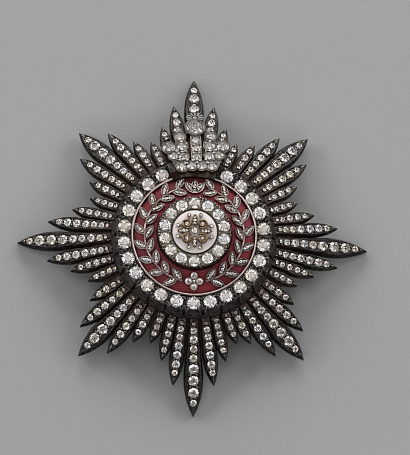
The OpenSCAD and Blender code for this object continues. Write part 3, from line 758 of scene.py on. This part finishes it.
def leafForm(name, length, half, thick, rim, floor):
    # pointed leaf along x with a raised rim round a sunken floor
    bm = bmesh.new()
    bmesh.ops.create_circle(bm, cap_ends=True, segments=20, radius=1)
    bend = (length ** 2 / 4 + half ** 2) / (2 * half)
    for vert in bm.verts:
        x = vert.co.x * length / 2
        y = math.sqrt(bend ** 2 - x ** 2) - (bend - half)
        vert.co = (x + length / 2, math.copysign(max(y, 0.0), vert.co.y), 0)
    top = bmesh.ops.extrude_face_region(bm, geom=bm.faces[:])["geom"]
    raised = [g for g in top if isinstance(g, bmesh.types.BMVert)]
    bmesh.ops.translate(bm, vec=(0, 0, thick), verts=raised)
    roof = [g for g in top if isinstance(g, bmesh.types.BMFace)]
    bmesh.ops.inset_region(bm, faces=roof, thickness=rim, use_even_offset=True)
    pit = bmesh.ops.extrude_face_region(bm, geom=roof)["geom"]
    bmesh.ops.delete(bm, geom=[f for f in roof if f.is_valid], context="FACES")
    sunk = [g for g in pit if isinstance(g, bmesh.types.BMVert)]
    bmesh.ops.translate(bm, vec=(0, 0, floor - thick), verts=sunk)
    bmesh.ops.recalc_face_normals(bm, faces=bm.faces)
    return keepMesh(name, bm)


def makeWreath():
    leaf = leafForm("leaf", **wreath["leaf"])
    leaves, stones, stems = bmesh.new(), [], []
    high = wreath["leaf"]["thick"] + wreath["proud"]

    def addLeaf(place):
        addCopy(leaves, leaf, place)
        for x, size in wreath["stones"]:
            stones.append((place @ Vector((x, 0, high)), upOf(place), size))

    step, stemStep = wreath["sweep"] / wreath["pairs"], wreath["stemStep"]
    for mirror in (1, -1):
        for i in range(wreath["pairs"]):
            for side in (-1, 1):
                angle = -90 + mirror * (wreath["start"] + step * (i + wreath["slip"] * side))
                addLeaf(onBand(angle, wreath["radius"]) @ turned("Z", mirror * (90 - side * wreath["lean"])))
        steps = range(-1, int(wreath["sweep"] / stemStep) - 2)
        turns = [-90 + mirror * (wreath["start"] + stemStep * k) for k in steps]
        stem = [onBand(a, wreath["radius"]) @ Vector((0, 0, wreath["stem"])) for a in turns]
        stems.append(([(v, wreath["stem"]) for v in stem], False))
    for lean in wreath["palmLeans"]:
        addLeaf(onBand(90, wreath["palmR"]) @ turned("Z", lean))
    finishPiece("wreath_leaves", leaves, wreathMetal, ["band_ornament"])
    wirePiece("wreath_stems", stems, 2, wreathMetal)
    setStones("wreath_stones", stones, smallForms)
    makeFoils("wreath_foils", stones)
    return len(stones)


def makeRosette(radius, reach, stoneD, stones, height, wall, lower, plateR, plateT, rim, rimIn, rimLow, rimPoints,
                middleD):
    # four collets on a small round plate, with a tiny stone between them
    bm, rims = bmesh.new(), []
    base = onBand(-90, radius)
    bmesh.ops.create_cone(bm, cap_ends=True, segments=32, radius1=plateR, radius2=plateR, depth=plateT,
                          matrix=base @ moved(0, 0, plateT / 2))
    wall += stoneD / 2
    edge = Vector((wall - rimIn, 0, height - rimLow))
    for k in range(stones):
        spot = base @ turned("Z", 360 / stones * k) @ moved(reach, 0, 0)
        bmesh.ops.create_cone(bm, segments=24, radius1=wall, radius2=wall, depth=height - lower,
                              matrix=spot @ moved(0, 0, height / 2))
        turns = [turned("Z", 360 / rimPoints * n) for n in range(rimPoints)]
        rims.append(([(spot @ turn @ edge, rim) for turn in turns], True))
    middle = [(base @ (zAxis * height), upOf(base), middleD)]
    finishPiece("rosette_setting", bm, wreathMetal)
    wirePiece("rosette_rims", rims, 2, paleRoseAndHighlight)
    setStones("rosette_middle", middle, smallForms)
    makeFoils("rosette_foil", middle)


print("wreath set with", makeWreath(), "stones")
makeRosette(**rosette)

# The scrollwork on the white disc: in each quarter a scroll, two twigs with a stone at the end, and a leaf
disc = dict(edgeZ=15.6, rise=0.55, radius=5.85, lift=0.06)
spiral = dict(middle=2.75 / math.sqrt(2), big=1.38, small=0.5, start=225, turns=1.55, steps=28, ease=0.8,
              wire=0.27, thin=0.55, swell=0.75, swellFrom=0.12, swellBy=0.9, up=0.8)
twig = dict(inner=2.2, outer=4.25, steps=8, bend=14, wire=0.2, thin=0.06)
scroll = dict(
    stoneD=0.95, stoneUp=0.34, twigs=((19, 0.8), (71, -0.8)), budOut=0.32, budD=0.74,
    leaf=dict(length=3.3, half=0.7, thick=0.42, rim=0.12, floor=0.12), leafR=1.2, leafAt=2.6,
    leafStones=((0.85, 0.62), (1.62, 0.8), (2.4, 0.6)), middleD=1.5, middleUp=0.6,
    rim=0.1, rimGap=0.04, rimLow=0.02, rimPoints=15)


def discZ(radius):
    bend = (disc["radius"] ** 2 + disc["rise"] ** 2) / (2 * disc["rise"])
    return disc["edgeZ"] + disc["rise"] - bend + math.sqrt(bend ** 2 - radius ** 2) + disc["lift"]


def onDisc(x, y, up=0.0):
    return Vector((x, y, discZ(math.hypot(x, y)) + up))


def spiralPath(sx, sy, middle, big, small, start, turns, steps, ease, wire, thin, swell, swellFrom, swellBy, up):
    # winds inwards round the middle of its quarter and swells on the way
    path = []
    for n in range(steps + 1):
        share = n / steps
        radius = big + (small - big) * share ** ease
        angle = math.radians(start + 360 * turns * share)
        x, y = middle + radius * math.cos(angle), middle + radius * math.sin(angle)
        width = wire * (thin + swell * math.sin(math.pi * min(1, swellFrom + share * swellBy)))
        path.append((onDisc(sx * x, sy * y, width * up), width))
    return path, False


def twigPath(sx, sy, spread, curl, inner, outer, steps, bend, wire, thin):
    path = []
    for n in range(steps + 1):
        share = n / steps
        angle = math.radians(spread + bend * curl * math.sin(math.pi * share))
        radius = inner + (outer - inner) * share
        width = wire - thin * share
        path.append((onDisc(sx * radius * math.cos(angle), sy * radius * math.sin(angle), width), width))
    return path, False


def makeScrollwork():
    leaf = leafForm("scrollLeaf", **scroll["leaf"])
    paths, stones, leaves = [], [], bmesh.new()
    middle, reach = spiral["middle"], twig["outer"] + scroll["budOut"]
    for k, (sx, sy) in enumerate(((1, 1), (-1, 1), (-1, -1), (1, -1))):
        paths.append(spiralPath(sx, sy, **spiral))
        stones.append((onDisc(sx * middle, sy * middle, scroll["stoneUp"]), zAxis, scroll["stoneD"]))
        for spread, curl in scroll["twigs"]:
            paths.append(twigPath(sx, sy, spread, curl, **twig))
            x, y = reach * math.cos(math.radians(spread)), reach * math.sin(math.radians(spread))
            stones.append((onDisc(sx * x, sy * y, scroll["stoneUp"]), zAxis, scroll["budD"]))
        place = turned("Z", 90 * k) @ moved(scroll["leafR"], 0, discZ(scroll["leafAt"]))
        addCopy(leaves, leaf, place)
        for x, size in scroll["leafStones"]:
            stones.append((place @ Vector((x, 0, scroll["leaf"]["thick"])), zAxis, size))
    stones.append((onDisc(0, 0, scroll["middleUp"]), zAxis, scroll["middleD"]))
    for centre, axis, size in stones:
        edge = Vector((size / 2 + scroll["rimGap"], 0, -scroll["rimLow"]))
        rim = [centre + turned("Z", 360 / scroll["rimPoints"] * n) @ edge for n in range(scroll["rimPoints"])]
        paths.append(([(v, scroll["rim"]) for v in rim], True))
    wirePiece("scroll_wires", paths, 2, goldMetal, ["centre_ornament"])
    finishPiece("scroll_leaves", leaves, goldMetal)
    setStones("scroll_stones", stones, smallForms)
    makeFoils("scroll_foils", stones)
    print("scrollwork set with", len(stones), "stones")


makeScrollwork()
# a dark wire round the white disc, standing in for the shadow in the gap between disc and inner gallery: painted
# shadow
roundWire("disc_shadow_line", darkSeamAndShade, radius=5.83, z=15.62, wire=0.14, points=60)

# Fine work on the crown: threads, beads between the stones, strips on the legs, small stones in the gaps
crown = dict(y=18.0, z=14.3, topY=29.3, turn=2.4)
crownThreads = dict(wire=0.05, edges=(-0.1, 0.12))
crownBeads = dict(size=0.36, gap=0.9, out=0.3, up=0.16)
crownStrips = dict(x=1.24, wire=0.09, ys=(19.7, 22.0, 24.3, 26.6), up=0.02)
fillStones = dict(most=0.45, least=0.2, level=0.94)  # room round a spot, and how level its stones lie
fillSeat = dict(up=0.05, share=0.12)
fan = dict(  # a fan of wedge cuts above the large stone, with a tiny stone in it
    above=0.95, below=0.25, wide=1.35, high=0.85, strokes=9, start=-28, sweep=236,
    stroke=((0.6, 0.05), (1.0, 0.08), (1.65, 0.10)), stoneD=0.75, stoneUp=0.1,
    oval=(2.1, 1.25), thick=0.5, low=0.3, flare=1.05)


def onCrown(x, y, up):
    # a point on the crown's sloping face, by its place from the crown's middle line and the star's centre
    swung = turned("Z", crown["turn"]) @ Vector((x, y - crown["topY"], 0)) + Vector((0, crown["topY"], 0))
    face = Vector((0, 0, crown["z"] - (y - crown["y"]) * rise))
    return swung + face + Vector((0, math.sin(slope), math.cos(slope))) * up


def crownFill(places, most, least, level):
    # spots between the crown's stones that still have metal under them, with the room that each leaves
    tree = metalTree(["crown"])
    found, kept = [], []
    for a, b, c in itertools.combinations(places, 3):
        spot = (a[0] + b[0] + c[0]) / 3
        axis = (a[1] + b[1] + c[1]).normalized()
        room = min(most, min((spot - centre).length - size / 2 for centre, _, size in places))
        if room < least or min(a[1].dot(b[1]), b[1].dot(c[1])) < level:
            continue
        around = [stoneMatrix(spot + axis, axis, room, 45 * k) @ Vector((1, 0, 0)) for k in range(8)]
        ground = [tree.ray_cast(p, -axis, 1.6)[0] for p in around + [spot + axis]]
        if None not in ground:
            found.append((ground[-1], axis, 2 * room))
    for place in sorted(found, key=lambda f: -f[2]):
        if all((place[0] - other[0]).length > (place[2] + other[2]) / 2 for other in kept):
            kept.append(place)
    return kept


def makeFan(above, below, wide, high, strokes, start, sweep, stroke, stoneD, stoneUp, oval, thick, low, flare):
    centre, axis, size = stonePlaces["crown_top_stone"][0]
    up = (Vector((0, 1, 0)) - axis * axis.y).normalized()
    across = up.cross(axis).normalized()
    middle = centre + up * (size / 2 + above) - axis * below
    paths = []
    for k in range(strokes):
        angle = math.radians(start + sweep / (strokes - 1) * k)
        way = across * math.cos(angle) * wide + up * math.sin(angle) * high
        paths.append(([(middle + way * share, width) for share, width in stroke], False))
    plate = bmesh.new()
    bmesh.ops.create_cone(plate, cap_ends=True, segments=36, radius1=1.0, radius2=flare, depth=thick)
    stretch = Matrix((across * oval[0], up * oval[1], axis)).transposed().to_4x4()
    seat = Matrix.Translation(middle - axis * low)
    bmesh.ops.transform(plate, matrix=seat @ stretch, verts=plate.verts)
    finishPiece("crown_fan_plate", plate, rayMetal)
    wirePiece("crown_fan", paths, 1, fanMetal)
    return [(middle + axis * stoneUp, axis, stoneD)]


def makeCrownBeads(places, size, gap, out, up):
    beads = bmesh.new()
    for n, (first, normal, d) in enumerate(places):
        for second, _, e in places[n + 1:]:
            way = second - first
            if way.length < (d + e) / 2 + gap:
                spot = first + way.normalized() * (d / 2 + (way.length - (d + e) / 2) / 2)
                side = normal.cross(way).normalized()
                for s in (-1, 1):
                    at = spot + side * s * min(d, e) * out + normal * up
                    addBead(beads, largeBead, at, size)
    finishPiece("crown_beads", beads, crownThread, smooth=True)


def stripPath(side, x, wire, ys, up):
    return [(onCrown(side * x, y, up), wire) for y in ys], False


def makeCrownWork(places):
    small = makeFan(**fan)
    makeCrownBeads(places, **crownBeads)
    setStones("crown_small_stone", small, flatForms)
    makeFoils("crown_small_foil", small, flat=True)
    wirePiece("crown_strips", [stripPath(s, **crownStrips) for s in (-1, 1)], 1, heartClaw)
    fill = [(ground + axis * (fillSeat["share"] * size + fillSeat["up"]), axis, size)
            for ground, axis, size in crownFill(places, **fillStones)]
    setStones("crown_fill_stones", fill, flatForms, glass=crownGlass)
    makeFoils("crown_fill_foils", fill, dullFoil, flat=True)
    print("crown filled with", len(fill), "small stones")


crownEdges = edgeLines(["crown"], *crownThreads["edges"])
threadPiece("crown_threads", crownEdges, crownThreads["wire"], crownThread)
makeCrownWork(stonePlaces["crown_stones"])
print("crown's fine work set")

# Materials of the CAD nodes, by the start of their names
nodeLooks = [
    ("rays_", rayMetal), ("back_plate", backMetal), ("brooch_pin", backMetal), ("crown", crownMetal),
    ("outer_gallery", galleryMetal), ("outer_stone_", stoneGlass), ("inner_stone_", stoneGlass),
    ("inner_gallery", heartMetal), ("band_enamel", redEnamel), ("band_rim", roseMetal),
    ("band_ornament", heartMetal), ("centre_enamel", whiteEnamel), ("centre_ornament", goldMetal),
]
for name, node in nodes.items():
    for start, material in nodeLooks:
        if name.startswith(start):
            node.data.materials.clear()
            node.data.materials.append(material)
            break

# Floor, light and camera
paper = dict(half=1.5, dark=(0.311,) * 3, light=(0.326,) * 3, flecks=900, fleckRange=(0.2, 0.8))
studio = dict(sky=(0.5, 0.5, 0.51, 1), strength=0.42, farther=3.6)  # farther moves and widens all lights
lights = dict(  # place in metres, width, and the panel's radiance
    north=((-0.06, 0.80, 0.285), 0.54, 7.6),
    northWest=((-0.66, 0.42, 0.34), 0.43, 6.8),
    northEast=((0.60, 0.50, 0.34), 0.48, 6.8),
    west=((-0.78, -0.04, 0.36), 0.26, 6.3),
    east=((0.78, 0.00, 0.36), 0.27, 6.3),
    southWest=((-0.46, -0.60, 0.38), 0.19, 6.3),
    southEast=((0.46, -0.60, 0.38), 0.19, 6.3),
    south=((0.02, -0.72, 0.46), 0.20, 5.8),
    top=((-0.16, 0.16, 0.95), 0.60, 0.9),
)
view = dict(azimuth=-8.15, elevation=73.5, roll=9.0, distance=2170.0,
            scale=3.895, centre=(192.11, 248.73), frame=(410, 455))  # pixels to the millimetre, and pixels
sharpen = dict(amount=0.08, cap=0.9, lastCap=0.935, gamma=2.2)


def makeFloor():
    bm = bmesh.new()
    bmesh.ops.create_grid(bm, x_segments=1, y_segments=1, size=paper["half"])
    material, tree, shader = startMaterial("paper", Roughness=0.9, Specular_IOR_Level=0.15)
    fleck = mapped(tree, noise(tree, paper["flecks"]), *paper["fleckRange"])
    tree.links.new(blendColours(tree, fleck, paper["dark"], paper["light"]), shader.inputs["Base Color"])
    floor = placed("floor", keepMesh("floor", bm))
    floor.data.materials.append(material)


def makeLight(name, place, size, glow):
    data = bpy.data.lights.new(name, "AREA")
    data.shape = "DISK"
    data.size = size * studio["farther"]
    data.energy = glow * math.pi * math.pi * data.size ** 2 / 4
    light = placed(name, data)
    light.location = Vector(place) * studio["farther"]
    light.rotation_euler = (-Vector(place)).to_track_quat("-Z", "Y").to_euler()


def makeCamera(azimuth, elevation, roll, scale, centre, frame, distance):
    azimuth, elevation, roll = (math.radians(angle) for angle in (azimuth, elevation, roll))
    level = math.cos(elevation)
    away = Vector((math.sin(azimuth) * level, -math.cos(azimuth) * level, math.sin(elevation)))
    right = Vector((math.cos(azimuth), math.sin(azimuth), 0))
    up = away.cross(right)
    across = right * math.cos(roll) + up * math.sin(roll)
    upward = up * math.cos(roll) - right * math.sin(roll)
    offX = (frame[0] / 2 - centre[0]) / scale
    offY = (centre[1] - frame[1] / 2) / scale
    aim = (across * offX + upward * offY) * mm
    data = bpy.data.cameras.new("camera")
    data.sensor_fit = "AUTO"
    data.sensor_width = 36.0
    data.lens = scale * data.sensor_width * distance / frame[1]
    data.clip_start, data.clip_end = 0.1, 10.0
    camera = placed("camera", data)
    axes = Matrix((across, upward, away)).transposed().to_4x4()
    camera.matrix_world = Matrix.Translation(aim + away * distance * mm) @ axes
    bpy.context.scene.camera = camera


def makeSharpening(amount, cap, lastCap, gamma):
    # caps the glints and sharpens a little, in the tones that the eye sees
    scene.use_nodes = True
    tree = scene.node_tree
    tree.nodes.clear()
    layers = tree.nodes.new("CompositorNodeRLayers")
    first, second = (tree.nodes.new("CompositorNodeMixRGB") for _ in range(2))
    for node, level in ((first, cap), (second, lastCap)):
        node.blend_type = "DARKEN"
        node.inputs[2].default_value = (level, level, level, 1.0)
    toEye, crisp, toLight = (tree.nodes.new("CompositorNode" + k) for k in ("Gamma", "Filter", "Gamma"))
    toEye.inputs["Gamma"].default_value = 1 / gamma
    crisp.filter_type = "SHARPEN"
    crisp.inputs["Fac"].default_value = amount
    toLight.inputs["Gamma"].default_value = gamma
    last = layers.outputs["Image"]
    for node, place in ((first, 1), (toEye, "Image"), (crisp, "Image"), (second, 1), (toLight, "Image")):
        tree.links.new(last, node.inputs[place])
        last = node.outputs["Image"]
    tree.links.new(last, tree.nodes.new("CompositorNodeComposite").inputs["Image"])


makeFloor()
for name, look in lights.items():
    makeLight(name + "Light", *look)
makeCamera(**view)
scene = bpy.context.scene
scene.world = bpy.data.worlds.new("studio")
scene.world.use_nodes = True
background = scene.world.node_tree.nodes["Background"]
background.inputs["Color"].default_value = studio["sky"]
background.inputs["Strength"].default_value = studio["strength"]
scene.view_settings.view_transform = "Standard"
scene.cycles.max_bounces = 16
scene.cycles.transmission_bounces = 14
scene.cycles.glossy_bounces = 8
scene.cycles.caustics_reflective = False
scene.cycles.caustics_refractive = False
scene.cycles.use_denoising = True
scene.cycles.filter_width = 1.5
makeSharpening(**sharpen)
